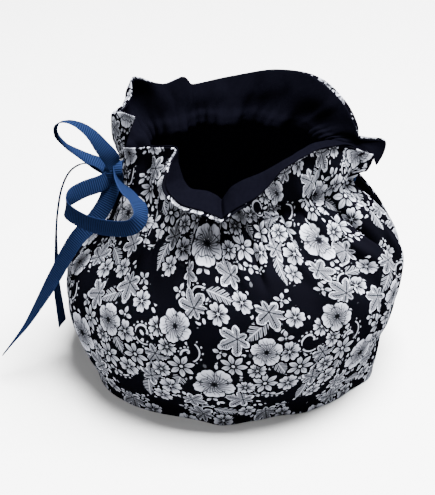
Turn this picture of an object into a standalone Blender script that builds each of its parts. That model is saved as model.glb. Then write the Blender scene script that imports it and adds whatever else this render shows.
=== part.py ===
"""A drawstring tea cosy: two cotton panels, their linings and a ribbon.

The cosy stands on its hem on the floor plane z = 0. The slit for the pot's
handle faces -X, the slit for the spout faces +X, and the front panel faces
-Y. The origin is on the floor, under the middle of the whole cosy with its
ribbon; the tables count from the middle of the hem ring, a little beside
it. Lengths are in metres, and tables are in millimetres and degrees. An
angle in a table runs around one panel, from 0 at the handle seam to 180 at
the spout seam.
"""

import math

import bmesh
import bpy
from mathutils import Vector

MM = 0.001

# Cloth
PANEL_THICKNESS = 1.2 * MM
LINING_THICKNESS = 1.0 * MM
LAYER_GAP = 0.5 * MM
SEAM_GAP = 0.5 * MM
HEM_HEIGHT = 6 * MM
LINING_FOOT = 14 * MM

# Body
NECK_HEIGHT = 126 * MM
SLIT_BASE = 68 * MM
HEM_FADE_TOP = 30 * MM

# Where a fold fades, as shares of its run: in above its top, out below it
FOLD_FADE_IN = -0.3
FOLD_FADE_OUT = 0.35

# Mesh density of one panel
COLUMNS = 36
BODY_ROWS = 10
FRILL_ROWS = 7

# Ribbon
RIBBON_WIDTH = 10 * MM
RIBBON_THICKNESS = 1.0 * MM
RIBBON_STEP = 4.5 * MM
TAPER_LENGTH = 60 * MM
TANGENT_STEP = 0.5 * MM
KNOT_SIZE = (9 * MM, 11 * MM, 13 * MM)
KNOT_ROUNDING = 2.5 * MM
KNOT_PLACE = (-72 * MM, -2 * MM, 129 * MM)

# Middle of the hem ring
HEM_CENTRE = Vector((22.3 * MM, -0.5 * MM, 0.0))

FRONT, BACK = -1, 1

# Radius of the padded body at each height, in the four main directions.
# (height, handle, front, spout, back)
BODY_SECTIONS = (
    (HEM_HEIGHT / MM, 87, 77, 86, 80),
    (25, 98, 88, 90, 91),
    (50, 102, 96, 97, 98),
    (70, 97, 96, 98, 98),
    (90, 78, 90, 90, 92),
    (108, 71, 78, 77, 80),
    (120, 67, 65, 68, 66),
    (NECK_HEIGHT / MM, 66, 58, 68, 58),
)

# Ridges (height above 0) and troughs (below 0) that run down from the casing.
# (top, top_angle, foot, foot_angle, width, height)
FRONT_FOLDS = (
    (126, 20, 84, 14, 9, 3.0),
    (126, 33, 80, 27, 7, -3.0),
    (126, 45, 72, 38, 8, 3.5),
    (126, 57, 78, 50, 7, -3.0),
    (126, 69, 68, 66, 9, 3.5),
    (126, 82, 74, 80, 7, -3.5),
    (126, 94, 62, 92, 9, 3.5),
    (126, 106, 70, 106, 8, -4.0),
    (126, 118, 66, 118, 9, 4.5),
    (126, 131, 52, 134, 8, -5.0),
    (126, 144, 56, 148, 9, 4.5),
    (126, 156, 70, 162, 7, -3.0),
    (80, 157, 6, 160, 7, -3.5),
    (70, 20, 6, 26, 9, -2.0),
)
BACK_FOLDS = (
    (126, 20, 78, 16, 8, 3.0),
    (126, 34, 72, 30, 8, -3.5),
    (126, 48, 66, 45, 9, 3.5),
    (126, 62, 74, 60, 8, -3.0),
    (126, 77, 62, 76, 9, 4.0),
    (126, 91, 70, 91, 8, -3.5),
    (126, 105, 64, 107, 9, 3.5),
    (126, 119, 72, 122, 8, -3.5),
    (126, 133, 60, 137, 9, 4.0),
    (126, 148, 76, 152, 7, -3.0),
    (70, 60, 6, 64, 10, -2.0),
    (66, 128, 6, 124, 10, -2.5),
)

# Dents and points where the hem stands off its round ring.
# (angle, width, height)
FRONT_HEM = ((28, 30, 4.0), (76, 12, 3.0), (100, 14, -2.0), (149, 12, 3.0))
BACK_HEM = ((48, 14, 2.5), (92, 16, -2.0), (134, 14, 2.5))

# The frill stands up from the casing, rolls over at its ridge and ends at
# its edge. A row's share is its place across the flat cloth, in percent.
# (share, neck_angle, ridge_angle, ridge_radius, ridge_height,
#  edge_angle, edge_radius, edge_height)
FRONT_FRILL = (
    (0, 9, 8, 66, 141, 9, 67, 149),
    (10, 23, 27, 60, 150, 29, 61, 158),
    (18, 36, 40, 54, 153, 43, 54, 160),
    (25, 46, 46, 57, 150, 47, 67, 156),
    (31, 54, 51, 60, 145, 50, 77, 147),
    (37, 62, 56, 61, 141, 57, 79, 140),
    (43, 71, 65, 62, 142, 66, 79, 138),
    (49, 80, 74, 63, 140, 75, 80, 136),
    (54, 88, 79, 61, 146, 82, 77, 141),
    (61, 97, 91, 60, 152, 92, 71, 147),
    (68, 108, 104, 59, 156, 103, 66, 156),
    (80, 128, 126, 57, 160, 125, 63, 160),
    (91, 148, 147, 62, 153, 150, 66, 152),
    (100, 165, 166, 75, 128, 167, 78, 138),
)
BACK_FRILL = (
    (0, 9, 10, 63, 145, 5, 58, 160),
    (5, 14, 12, 68, 144, 9, 66, 161),
    (10, 21, 16, 73, 144, 17, 73, 155),
    (15, 29, 26, 72, 143, 28, 71, 154),
    (20, 37, 37, 77, 148, 37, 71, 156),
    (25, 45, 44, 78, 152, 42, 74, 164),
    (30, 52, 53, 67, 147, 52, 70, 158),
    (34, 59, 61, 67, 143, 61, 72, 153),
    (39, 68, 71, 67, 145, 71, 71, 155),
    (42, 73, 74, 67, 141, 74, 71, 149),
    (52, 91, 96, 66, 143, 96, 71, 152),
    (62, 110, 119, 67, 147, 119, 72, 158),
    (72, 129, 140, 69, 147, 141, 74, 158),
    (80, 141, 155, 72, 141, 158, 76, 148),
    (84, 146, 159, 72, 137, 167, 76, 140),
    (88, 152, 162, 72, 133, 170, 76, 133),
    (91, 155, 165, 75, 131, 173, 83, 133),
    (94, 159, 169, 78, 130, 175, 90, 133),
    (97, 162, 172, 80, 128, 176, 89, 126),
    (100, 165, 174, 81, 125, 177, 84, 118),
)
RIDGE_SHARE = 0.62
FRILL_BELLY = 1.5

# Ribbon routes: the middle of the ribbon and the way its width points.
# (x, y, z, width_x, width_y, width_z)
UPPER_LOOP = (
    (-71, -3, 132, 0.4, 0.4, 0.8),
    (-73, -5, 139, 0.6, 0.3, 0.6),
    (-78, -6, 147, 0.6, 0.6, 0.4),
    (-84, -6, 156, 0.5, 0.8, 0.0),
    (-91, -5, 162, 0.4, 0.9, -0.2),
    (-97, -2, 163, 0.3, 0.9, -0.3),
    (-102, 1, 160, 0.2, 0.9, -0.4),
    (-103, 3, 153, 0.2, 0.9, -0.4),
    (-98, 5, 144, 0.2, 0.9, -0.3),
    (-91, 6, 138, 0.2, 1.0, 0.0),
    (-83, 5, 133, 0.1, 0.9, 0.4),
    (-74, 1, 130, 0.0, 0.7, 0.7),
)
LOWER_LOOP = (
    (-72, -4, 128, 0.0, 0.2, 1.0),
    (-80, -9, 126, 0.0, 0.3, 1.0),
    (-90, -13, 125, 0.0, 0.3, 1.0),
    (-98, -18, 123, 0.1, 0.3, 0.9),
    (-101, -26, 121, 0.2, 0.2, 1.0),
    (-96, -35, 120, 0.1, 0.1, 1.0),
    (-87, -45, 120, 0.0, 0.1, 1.0),
    (-76, -54, 122, 0.0, 0.0, 1.0),
    (-67, -59, 125, -0.2, 0.0, 1.0),
    (-62, -57, 129, -0.6, 0.1, 0.8),
    (-62, -49, 133, -0.9, 0.2, 0.4),
    (-66, -39, 134, -0.9, 0.2, 0.3),
    (-69, -27, 134, -0.8, 0.2, 0.5),
    (-71, -13, 132, -0.4, 0.2, 0.9),
    (-72, -5, 130, -0.1, 0.2, 1.0),
)
LONG_TAIL = (
    (-72, -5, 126, 0.6, -0.3, -0.5),
    (-78, -11, 114, 0.6, -0.5, -0.6),
    (-86, -14, 104, 0.6, -0.5, -0.6),
    (-95, -15, 95, 0.6, -0.6, -0.5),
    (-102, -15, 84, 0.6, -0.7, -0.3),
    (-109, -15, 71, 0.6, -0.8, -0.2),
    (-118, -15, 55, 0.5, -0.9, 0.0),
    (-128, -15, 38, 0.4, -0.9, 0.1),
    (-137, -15, 26, 0.2, -0.9, 0.2),
    (-144, -15, 17, 0.0, -0.9, 0.3),
)
SHORT_TAIL = (
    (-73, 1, 129, 0.0, 0.8, 0.6),
    (-81, 4, 131, 0.1, 1.0, -0.3),
    (-90, 5, 132, 0.1, 0.9, -0.5),
    (-97, 4, 128, 0.1, 0.9, -0.5),
    (-102, 2, 119, 0.1, 0.9, -0.5),
    (-105, 0, 107, 0.1, 0.9, -0.5),
    (-107, -2, 93, 0.1, 0.9, -0.5),
    (-108, -3, 77, 0.2, 0.9, -0.4),
    (-109, -4, 60, 0.4, 1.0, -0.1),
    (-107, -4, 29, 0.5, 0.9, 0.0),
)
HANDLE_SPAN = (
    (-65, -8.5, 126, 0.0, 0.0, 1.0),
    (-70, -5, 127, 0.0, 0.0, 1.0),
    (-72, 0, 128, 0.0, 0.0, 1.0),
    (-70, 5, 127, 0.0, 0.0, 1.0),
    (-65, 8.5, 126, 0.0, 0.0, 1.0),
)
SPOUT_SPAN = (
    (66, -15, 124, 0.0, 0.0, 1.0),
    (69, -8, 123, 0.1, 0.0, 1.0),
    (70, 0, 122, 0.1, 0.0, 1.0),
    (69, 8, 122, 0.1, 0.0, 1.0),
    (66, 14, 122, 0.0, 0.0, 1.0),
)

# Strips that the knot joins. (name, route, taper)
BOW_STRIPS = (
    ("upper_loop", UPPER_LOOP, 0.0),
    ("lower_loop", LOWER_LOOP, 0.0),
    ("long_tail", LONG_TAIL, 0.8),
    ("short_tail", SHORT_TAIL, 0.0),
    ("handle_span", HANDLE_SPAN, 0.0),
)


def smoothstep(low, high, value):
    """0 below low, 1 above high, with a smooth rise between them."""
    share = min(max((value - low) / (high - low), 0.0), 1.0)
    return share * share * (3.0 - 2.0 * share)


def bump(distance, width):
    """A smooth hill of height 1 that ends at the given half width."""
    if abs(distance) >= width:
        return 0.0
    return math.cos(0.5 * math.pi * distance / width) ** 2


def blend_rows(rows, key):
    """Read a table at a key in its first column, along a smooth curve."""
    key = min(max(key, rows[0][0]), rows[-1][0])
    index = max(i for i in range(len(rows) - 1) if rows[i][0] <= key)
    low, high = rows[index], rows[index + 1]
    before = rows[max(index - 1, 0)]
    after = rows[min(index + 2, len(rows) - 1)]
    span = high[0] - low[0]
    share = (key - low[0]) / span
    values = []
    for column in range(1, len(low)):
        rise_in = (high[column] - before[column]) / (high[0] - before[0])
        rise_out = (after[column] - low[column]) / (after[0] - low[0])
        values.append(
            (2 * share**3 - 3 * share**2 + 1) * low[column]
            + (share**3 - 2 * share**2 + share) * rise_in * span
            + (3 * share**2 - 2 * share**3) * high[column]
            + (share**3 - share**2) * rise_out * span
        )
    return values


def around(side, angle, radius, height):
    """The point at an angle (degrees) around a panel; radius in metres."""
    turn = math.radians(angle)
    return Vector((-radius * math.cos(turn), side * radius * math.sin(turn), height))


def fold_height(folds, angle, height):
    """How far the folds move the cloth outward at one place."""
    total = 0.0
    for top, top_angle, foot, foot_angle, width, rise in folds:
        down = (top * MM - height) / ((top - foot) * MM)
        middle = top_angle + (foot_angle - top_angle) * down
        fade = smoothstep(1.0, FOLD_FADE_OUT, down) * smoothstep(FOLD_FADE_IN, 0.0, down)
        total += rise * MM * fade * bump(angle - middle, width)
    return total


def body_radius(side, angle, height):
    """Radius of the body with its folds and the uneven hem."""
    handle, front, spout, back = blend_rows(BODY_SECTIONS, height / MM)
    across = math.cos(math.radians(angle))
    end = handle if across > 0 else spout
    face = front if side == FRONT else back
    radius = MM * (end * across**2 + face * (1.0 - across**2))
    radius += fold_height(FRONT_FOLDS if side == FRONT else BACK_FOLDS, angle, height)
    low = smoothstep(HEM_FADE_TOP, HEM_HEIGHT, height)
    for middle, width, rise in FRONT_HEM if side == FRONT else BACK_HEM:
        radius += rise * MM * low * bump(angle - middle, width)
    return radius


def frill_row(side, share):
    """The frill table's values at a share of the panel's width."""
    return blend_rows(FRONT_FRILL if side == FRONT else BACK_FRILL, 100.0 * share)


def body_point(side, share, height):
    """A point on the body below the casing.

    Columns are even around the widest part. Higher up they drift to their
    places in the gathered casing, and the slits open between the panels.
    """
    gathered = smoothstep(SLIT_BASE, NECK_HEIGHT, height)
    neck_angle = frill_row(side, share)[0]
    angle = 180.0 * share + (neck_angle - 180.0 * share) * gathered
    radius = body_radius(side, angle, max(height, HEM_HEIGHT))
    point = around(side, angle, radius, height)
    point.y += side * SEAM_GAP / 2
    return point


def frill_point(side, share, rise):
    """A point on the frill; rise runs from 0 at the casing to 1 at its edge."""
    neck = body_point(side, share, NECK_HEIGHT)
    row = frill_row(side, share)
    ridge = around(side, row[1], row[2] * MM, row[3] * MM)
    edge = around(side, row[4], row[5] * MM, row[6] * MM)
    belly = neck.lerp(ridge, 0.5)
    belly += Vector((neck.x, neck.y, 0)).normalized() * FRILL_BELLY * MM
    stops = (neck, belly, ridge, edge)
    shares = (0.0, RIDGE_SHARE / 2, RIDGE_SHARE, 1.0)
    rows = [(key, *stop) for key, stop in zip(shares, stops)]
    return Vector(blend_rows(rows, rise))


def row_heights():
    """Heights of a panel's rows on the body, from the hem to the casing."""
    rise = NECK_HEIGHT - LINING_FOOT
    upper = [LINING_FOOT + rise * i / BODY_ROWS for i in range(BODY_ROWS + 1)]
    return [0.0, HEM_HEIGHT] + upper


def panel_surface(side):
    """The panel's inner face as a grid whose normals point outward."""
    heights = row_heights()
    rows = len(heights) + FRILL_ROWS
    mesh = bmesh.new()
    bmesh.ops.create_grid(mesh, x_segments=COLUMNS, y_segments=rows - 1, size=0.5)
    for vertex in mesh.verts:
        share = vertex.co.x + 0.5
        row = round((vertex.co.y + 0.5) * (rows - 1))
        if row < len(heights):
            vertex.co = body_point(side, share, heights[row])
        else:
            rise = (row - len(heights) + 1) / FRILL_ROWS
            vertex.co = frill_point(side, share, rise)
    if side == BACK:
        bmesh.ops.reverse_faces(mesh, faces=mesh.faces)
    bmesh.ops.triangulate(mesh, faces=mesh.faces, quad_method="FIXED")
    mesh.normal_update()
    return mesh


def principled(name, color, roughness):
    """A plain cloth material."""
    material = bpy.data.materials.new(name)
    material.use_nodes = True
    shader = material.node_tree.nodes["Principled BSDF"]
    shader.inputs["Base Color"].default_value = (*color, 1.0)
    shader.inputs["Roughness"].default_value = roughness
    shader.inputs["Metallic"].default_value = 0.0
    return material


def add_object(name, mesh, material):
    """Turn a bmesh into a named, smooth-shaded object about the hem's middle."""
    data = bpy.data.meshes.new(name)
    mesh.to_mesh(data)
    mesh.free()
    data.shade_smooth()
    data.materials.append(material)
    thing = bpy.data.objects.new(name, data)
    thing.location = HEM_CENTRE
    bpy.context.scene.collection.objects.link(thing)
    return thing


def add_thickness(thing, thickness, offset):
    """Give a sheet its thickness; offset 1 is outward, -1 inward."""
    solidify = thing.modifiers.new("thickness", "SOLIDIFY")
    solidify.thickness = thickness
    solidify.offset = offset


def make_panel(name, side, material):
    """One outer panel, from the hem on the floor to the frill's edge."""
    panel = add_object(name, panel_surface(side), material)
    add_thickness(panel, PANEL_THICKNESS, 1.0)
    return panel


def make_lining(name, side, material):
    """One lining, a layer gap inside its panel and clear of the floor."""
    mesh = panel_surface(side)
    shifts = {vertex: -LAYER_GAP * vertex.normal for vertex in mesh.verts}
    for vertex, shift in shifts.items():
        vertex.co += shift
    hem = [vertex for vertex in mesh.verts if vertex.co.z < LINING_FOOT - LAYER_GAP]
    bmesh.ops.delete(mesh, geom=hem, context="VERTS")
    lining = add_object(name, mesh, material)
    add_thickness(lining, LINING_THICKNESS, -1.0)
    return lining


def route_rows(route):
    """A ribbon route as table rows keyed by the length along it."""
    rows = []
    length = 0.0
    for index, row in enumerate(route):
        if index:
            length += math.dist(row[:3], route[index - 1][:3])
        rows.append((length, *row))
    return rows


def ribbon_surface(route, taper=0.0):
    """A strip along a route; the taper narrows its last stretch to a point."""
    rows = route_rows(route)
    length = rows[-1][0]
    steps = max(round(length / (RIBBON_STEP / MM)), 2)
    mesh = bmesh.new()
    bmesh.ops.create_grid(mesh, x_segments=steps, y_segments=1, size=0.5)
    for vertex in mesh.verts:
        along = (vertex.co.x + 0.5) * length
        across = vertex.co.y
        values = blend_rows(rows, along)
        ahead = blend_rows(rows, min(along + TANGENT_STEP / MM, length))
        behind = blend_rows(rows, max(along - TANGENT_STEP / MM, 0.0))
        run = (Vector(ahead[:3]) - Vector(behind[:3])).normalized()
        width = Vector(values[3:])
        width = (width - width.dot(run) * run).normalized()
        narrow = 1.0 - taper * smoothstep(length - TAPER_LENGTH / MM, length, along)
        vertex.co = MM * Vector(values[:3]) + across * narrow * RIBBON_WIDTH * width
    mesh.normal_update()
    return mesh


def ribbon_strip(name, route, material, taper=0.0):
    """A ribbon piece of full thickness."""
    strip = add_object(name, ribbon_surface(route, taper), material)
    add_thickness(strip, RIBBON_THICKNESS, 0.0)
    return strip


def make_bow(material):
    """The knot with its loops, tails and the span across the handle slit."""
    mesh = bmesh.new()
    bmesh.ops.create_cube(mesh, size=1.0)
    bmesh.ops.scale(mesh, vec=Vector(KNOT_SIZE), verts=mesh.verts)
    bmesh.ops.bevel(
        mesh,
        geom=list(mesh.edges),
        offset=KNOT_ROUNDING,
        segments=2,
        affect="EDGES",
        profile=0.5,
    )
    bmesh.ops.translate(mesh, vec=Vector(KNOT_PLACE), verts=mesh.verts)
    bow = add_object("ribbon_bow", mesh, material)
    for name, route, taper in BOW_STRIPS:
        strip = ribbon_strip(name, route, material, taper)
        strip.hide_render = True
        strip.display_type = "WIRE"
        union = bow.modifiers.new(name, "BOOLEAN")
        union.operation = "UNION"
        union.object = strip
    return bow


def main():
    """Build the cosy in an empty scene."""
    for thing in list(bpy.data.objects):
        bpy.data.objects.remove(thing)
    print_cotton = principled("printed_cotton", (0.16, 0.17, 0.2), 0.85)
    lining_cotton = principled("lining_cotton", (0.01, 0.012, 0.025), 0.9)
    grosgrain = principled("grosgrain", (0.01, 0.06, 0.22), 0.55)
    make_panel("front_panel", FRONT, print_cotton)
    make_panel("back_panel", BACK, print_cotton)
    make_lining("front_lining", FRONT, lining_cotton)
    make_lining("back_lining", BACK, lining_cotton)
    make_bow(grosgrain)
    ribbon_strip("ribbon_spout_span", SPOUT_SPAN, grosgrain)


main()
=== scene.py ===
"""Looks of a drawstring tea cosy: printed cotton, plain linings and a grosgrain ribbon.

The cosy stands on its hem on the floor z = 0. The slit for the pot's handle faces -X, the
slit for the spout faces +X, and the front panel faces -Y. Shape tables count from the middle
of the hem ring, in millimetres and degrees; meshes are in metres in the part's own frame. An
angle runs around one panel, from 0 at the handle seam to 180 at the spout seam.
"""

import logging
import math
from collections.abc import Callable, Iterable, Sequence
from dataclasses import dataclass
from enum import Enum

import bmesh
import bpy
from bmesh.types import BMesh, BMVert
from bpy.types import ID, Material, Node, NodeSocket, Object
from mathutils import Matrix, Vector, noise


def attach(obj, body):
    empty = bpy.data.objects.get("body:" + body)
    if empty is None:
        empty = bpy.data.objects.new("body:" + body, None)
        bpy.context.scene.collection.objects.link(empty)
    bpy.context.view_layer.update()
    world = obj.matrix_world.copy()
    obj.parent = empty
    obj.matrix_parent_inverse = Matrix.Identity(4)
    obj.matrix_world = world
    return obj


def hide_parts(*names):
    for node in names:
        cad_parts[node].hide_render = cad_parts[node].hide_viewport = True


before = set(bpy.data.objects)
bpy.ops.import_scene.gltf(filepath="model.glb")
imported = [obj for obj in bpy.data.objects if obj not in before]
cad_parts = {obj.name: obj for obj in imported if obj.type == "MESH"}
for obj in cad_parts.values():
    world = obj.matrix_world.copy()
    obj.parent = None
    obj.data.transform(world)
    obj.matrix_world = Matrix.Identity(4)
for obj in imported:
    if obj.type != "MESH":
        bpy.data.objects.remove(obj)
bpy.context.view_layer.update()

LOG = logging.getLogger("tea_cosy")
MM = 0.001

# A mix node lists its sockets kind by kind: the first input and the result of each kind.
MIX_SOCKETS = {"VECTOR": (4, 1), "RGBA": (6, 2)}

# Middle of the hem ring in the part's frame
HEM_CENTRE = Vector((22.3 * MM, -0.5 * MM, 0.0))

# Heights on the body, and how far the lining stays from the floor
HEM_HEIGHT = 6 * MM
LINING_FOOT = 14 * MM
SLIT_BASE = 68 * MM
NECK_HEIGHT = 126 * MM

# The flat cut of one panel, from seam to seam and from hem to frill edge
PANEL_WIDTH = 305 * MM

# The ribbon's width, in millimetres
RIBBON_WIDTH = 10.0

Row = tuple[float, ...]
Table = tuple[Row, ...]


class Side(Enum):
    """The two panels, by the sign of their Y."""

    FRONT = -1
    BACK = 1


# Radius of the padded body at each height, in the four main directions.
# (height, handle, front, spout, back)
BODY_SECTIONS: Table = (
    (6, 87, 77, 86, 80), (25, 98, 88, 90, 91),
    (50, 102, 96, 97, 98), (70, 97, 96, 98, 98),
    (90, 78, 90, 90, 92), (108, 71, 78, 77, 80),
    (120, 67, 65, 68, 66), (126, 66, 58, 66, 58),
)

# Ridges (height above 0) and troughs (below 0) that run down from the casing.
# (top, top_angle, foot, foot_angle, width, height)
FOLDS: dict[Side, Table] = {
    Side.FRONT: (
        (126, 20, 84, 14, 9, 3.0), (126, 33, 80, 27, 7, -3.0),
        (126, 45, 72, 38, 8, 3.5), (126, 57, 78, 50, 7, -3.0),
        (126, 69, 68, 66, 9, 3.5), (126, 82, 74, 80, 7, -3.5),
        (126, 94, 62, 92, 9, 3.5), (126, 106, 70, 106, 8, -4.0),
        (126, 118, 66, 118, 9, 4.5), (126, 131, 52, 134, 8, -5.0),
        (126, 144, 56, 148, 9, 4.5), (126, 156, 70, 162, 7, -3.0),
        (80, 157, 6, 160, 7, -3.5), (70, 20, 6, 26, 9, -2.0),
    ),
    Side.BACK: (
        (126, 20, 78, 16, 8, 3.0), (126, 34, 72, 30, 8, -3.5),
        (126, 48, 66, 45, 9, 3.5), (126, 62, 74, 60, 8, -3.0),
        (126, 77, 62, 76, 9, 4.0), (126, 91, 70, 91, 8, -3.5),
        (126, 105, 64, 107, 9, 3.5), (126, 119, 72, 122, 8, -3.5),
        (126, 133, 60, 137, 9, 4.0), (126, 148, 76, 152, 7, -3.0),
        (70, 60, 6, 64, 10, -2.0), (66, 128, 6, 124, 10, -2.5),
    ),
}

# Dents and points where the hem stands off its round ring. (angle, width, height)
HEM_POINTS: dict[Side, Table] = {
    Side.FRONT: ((28, 30, 4.0), (76, 12, 3.0), (100, 14, -2.0), (149, 12, 3.0)),
    Side.BACK: ((48, 14, 2.5), (92, 16, -2.0), (134, 14, 2.5)),
}

# The frill stands up from the casing, rolls over at its ridge and ends at its edge.
# A row's share is its place across the flat cloth, in percent. (share, neck_angle,
# ridge_angle, ridge_radius, ridge_height, edge_angle, edge_radius, edge_height)
FRILL: dict[Side, Table] = {
    Side.FRONT: (
        (0, 9, 8, 66, 141, 9, 67, 149), (10, 23, 27, 60, 150, 29, 61, 158),
        (18, 36, 40, 54, 153, 43, 54, 160), (25, 46, 46, 57, 150, 47, 67, 156),
        (31, 54, 51, 60, 145, 50, 77, 147), (37, 62, 56, 61, 141, 57, 79, 140),
        (43, 71, 65, 62, 142, 66, 79, 138), (49, 80, 74, 63, 140, 75, 80, 136),
        (54, 88, 79, 61, 146, 82, 77, 141), (61, 97, 91, 60, 152, 92, 71, 147),
        (68, 108, 104, 59, 156, 103, 66, 156), (80, 128, 126, 57, 160, 125, 63, 160),
        (91, 148, 147, 62, 153, 150, 66, 152), (100, 165, 166, 75, 128, 167, 78, 138),
    ),
    Side.BACK: (
        (0, 9, 10, 63, 145, 5, 58, 160), (5, 14, 12, 68, 144, 9, 66, 161),
        (10, 21, 16, 73, 144, 17, 73, 155), (15, 29, 26, 72, 143, 28, 71, 154),
        (20, 37, 37, 77, 148, 37, 71, 156), (25, 45, 44, 78, 152, 42, 74, 164),
        (30, 52, 53, 67, 147, 52, 70, 158), (34, 59, 61, 67, 143, 61, 72, 153),
        (39, 68, 71, 67, 145, 71, 71, 155), (42, 73, 74, 67, 141, 74, 71, 149),
        (52, 91, 96, 66, 143, 96, 71, 152), (62, 110, 119, 67, 147, 119, 72, 158),
        (72, 129, 140, 69, 147, 141, 74, 158), (80, 141, 155, 72, 141, 158, 76, 148),
        (84, 146, 159, 72, 137, 167, 76, 140), (88, 152, 162, 72, 133, 170, 76, 133),
        (91, 155, 165, 75, 131, 173, 83, 133), (94, 159, 169, 78, 130, 175, 90, 133),
        (97, 162, 172, 80, 128, 176, 89, 126), (100, 165, 174, 81, 125, 177, 84, 118),
    ),
}

# Where the ridge is on the frill's rise, how far the frill bellies out below it, and how
# long it is, in millimetres
RIDGE_SHARE = 0.62
FRILL_BELLY = 1.5
FRILL_LENGTH = 38.0

# Soft creases (height above 0 is a ridge) laid on the flat cloth, in millimetres
# across from the handle seam and up from the hem.
# (across, up, across_end, up_end, half_width, height)
CREASES: dict[Side, Table] = {
    Side.FRONT: (
        (27, 168, 50, 130, 6, -4.0), (37, 170, 60, 140, 6, 2.5),
        (54, 146, 60, 98, 7, -3.0), (68, 142, 73, 104, 7, -4.5),
        (84, 138, 88, 100, 8, 2.8), (103, 138, 108, 98, 8, -4.0),
        (120, 138, 122, 92, 8, 2.6), (138, 140, 138, 104, 7, -3.0),
        (150, 138, 150, 104, 6, 3.0), (162, 142, 162, 104, 5, -4.4),
        (176, 148, 172, 116, 7, -3.4), (194, 146, 196, 104, 9, 3.6),
        (220, 146, 232, 116, 5, -6.0), (232, 120, 221, 84, 5, -5.5),
        (241, 142, 249, 92, 8, 4.2), (258, 142, 264, 88, 5, -5.5),
        (274, 136, 278, 72, 9, 4.2), (294, 126, 294, 66, 6, -3.2),
        (237, 84, 236, 40, 6, -2.4), (146, 156, 151, 186, 4, 3.0),
        (186, 150, 250, 147, 7, -3.0), (236, 148, 300, 136, 7, -3.4),
        (60, 145, 120, 143, 6, -2.0), (38, 86, 60, 40, 10, -1.2),
        (128, 84, 150, 34, 10, 1.0), (188, 84, 206, 44, 10, -1.4),
        (222, 50, 262, 24, 10, -1.4), (118, 30, 176, 16, 9, -0.8),
        (20, 34, 84, 20, 10, 0.9), (200, 174, 196, 152, 6, 1.8),
        (228, 174, 222, 152, 6, -1.8), (262, 170, 258, 150, 7, 1.8),
    ),
    Side.BACK: (
        (40, 100, 58, 44, 10, 1.2), (84, 108, 92, 56, 9, -1.2),
        (126, 110, 118, 50, 10, 1.1), (160, 106, 176, 52, 9, -1.3),
        (204, 110, 196, 60, 10, 1.2), (244, 98, 262, 42, 10, -1.2),
        (60, 34, 120, 18, 10, -0.8), (180, 30, 236, 20, 10, 0.8),
        (66, 172, 60, 140, 7, -1.8), (86, 172, 80, 146, 6, 1.6),
        (104, 172, 110, 142, 6, 1.8), (128, 174, 122, 148, 6, -1.6),
        (150, 172, 146, 140, 8, -1.8), (176, 174, 172, 146, 7, 1.6),
        (196, 172, 204, 142, 7, 1.8), (236, 170, 232, 142, 6, -1.8),
    ),
}

# How far the print rolls over past the lining at the frill's edge, in millimetres; below 0
# the lining rolls over the print.
# (share of the width, roll)
EDGE_ROLLS: dict[Side, Table] = {
    Side.FRONT: (
        (0, 0.0), (10, -0.8), (20, -0.6), (27, 1.2), (34, 1.6), (50, 1.4),
        (56, 0.6), (62, -1.0), (80, -1.4), (92, -1.0), (100, 0.0),
    ),
    Side.BACK: (
        (0, 0.0), (6, 1.4), (20, 1.8), (30, 0.4), (60, 0.0), (68, 0.4),
        (74, 2.4), (82, 2.4), (86, 0.3), (90, -0.5), (100, 0.0),
    ),
}

# Ribbon routes: the middle of the ribbon and the way its width points.
# (x, y, z, width_x, width_y, width_z)
UPPER_LOOP: Table = (
    (-71, -3, 132, 0.4, 0.4, 0.8), (-73, -5, 139, 0.6, 0.3, 0.6),
    (-78, -6, 147, 0.6, 0.6, 0.4), (-84, -6, 156, 0.5, 0.8, 0.0),
    (-91, -5, 162, 0.4, 0.9, -0.2), (-97, -2, 163, 0.3, 0.9, -0.3),
    (-102, 1, 160, 0.2, 0.9, -0.4), (-103, 3, 153, 0.2, 0.9, -0.4),
    (-98, 5, 144, 0.2, 0.9, -0.3), (-91, 6, 138, 0.2, 1.0, 0.0),
    (-83, 5, 133, 0.1, 0.9, 0.4), (-74, 1, 130, 0.0, 0.7, 0.7),
)
LOWER_LOOP: Table = (
    (-72, -4, 128, 0.0, 0.2, 1.0), (-80, -9, 126, 0.0, 0.3, 1.0),
    (-90, -13, 125, 0.0, 0.3, 1.0), (-98, -18, 123, 0.1, 0.3, 0.9),
    (-101, -26, 121, 0.2, 0.2, 1.0), (-96, -35, 120, 0.1, 0.1, 1.0),
    (-87, -45, 120, 0.0, 0.1, 1.0), (-76, -54, 122, 0.0, 0.0, 1.0),
    (-67, -59, 125, -0.2, 0.0, 1.0), (-62, -57, 129, -0.6, 0.1, 0.8),
    (-62, -49, 133, -0.9, 0.2, 0.4), (-66, -39, 134, -0.9, 0.2, 0.3),
    (-69, -27, 134, -0.8, 0.2, 0.5), (-71, -13, 132, -0.4, 0.2, 0.9),
    (-72, -5, 130, -0.1, 0.2, 1.0),
)
LONG_TAIL: Table = (
    (-72, -5, 126, 0.6, -0.3, -0.5), (-78, -11, 114, 0.6, -0.5, -0.6),
    (-86, -14, 104, 0.6, -0.5, -0.6), (-95, -15, 95, 0.6, -0.6, -0.5),
    (-102, -15, 84, 0.6, -0.7, -0.3), (-109, -15, 71, 0.6, -0.8, -0.2),
    (-118, -15, 55, 0.5, -0.9, 0.0), (-128, -15, 38, 0.4, -0.9, 0.1),
    (-137, -15, 26, 0.2, -0.9, 0.2), (-144, -15, 17, 0.0, -0.9, 0.3),
)
SHORT_TAIL: Table = (
    (-73, 1, 129, 0.0, 0.8, 0.6), (-81, 4, 131, 0.1, 1.0, -0.3),
    (-90, 5, 132, 0.1, 0.9, -0.5), (-97, 4, 128, 0.1, 0.9, -0.5),
    (-102, 2, 119, 0.1, 0.9, -0.5), (-105, 0, 107, 0.1, 0.9, -0.5),
    (-107, -2, 93, 0.1, 0.9, -0.5), (-108, -3, 77, 0.2, 0.9, -0.4),
    (-109, -4, 60, 0.4, 1.0, -0.1), (-107, -4, 29, 0.5, 0.9, 0.0),
)
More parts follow.
